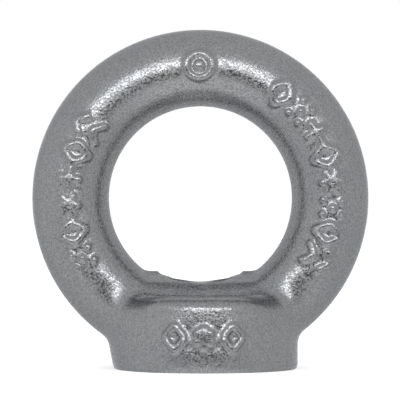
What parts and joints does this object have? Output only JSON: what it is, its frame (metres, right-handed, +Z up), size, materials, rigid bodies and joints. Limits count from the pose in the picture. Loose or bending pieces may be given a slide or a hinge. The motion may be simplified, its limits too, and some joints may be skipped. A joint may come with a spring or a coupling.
{
  "type": "lifting eye nut",
  "caption": "Forged steel ring on a short round collar with a tapped through hole, for lifting what a stud is fixed to.",
  "frame": {"origin": "centre of the tapped hole on the seat, the flat face under the collar", "axes": "+Z up along the thread, from the seat to the ring; the marked front of the ring faces -Y; +X to the right when looking along +Y"},
  "size_m": [0.063, 0.0354, 0.0634],
  "materials": {
    "zinc_plated_steel": "shot-blasted forging, bright zinc plated, with a machined seat and thread"
  },
  "bodies": {
    "root": {"eye_nut": "zinc_plated_steel"}
  },
  "joints": []
}
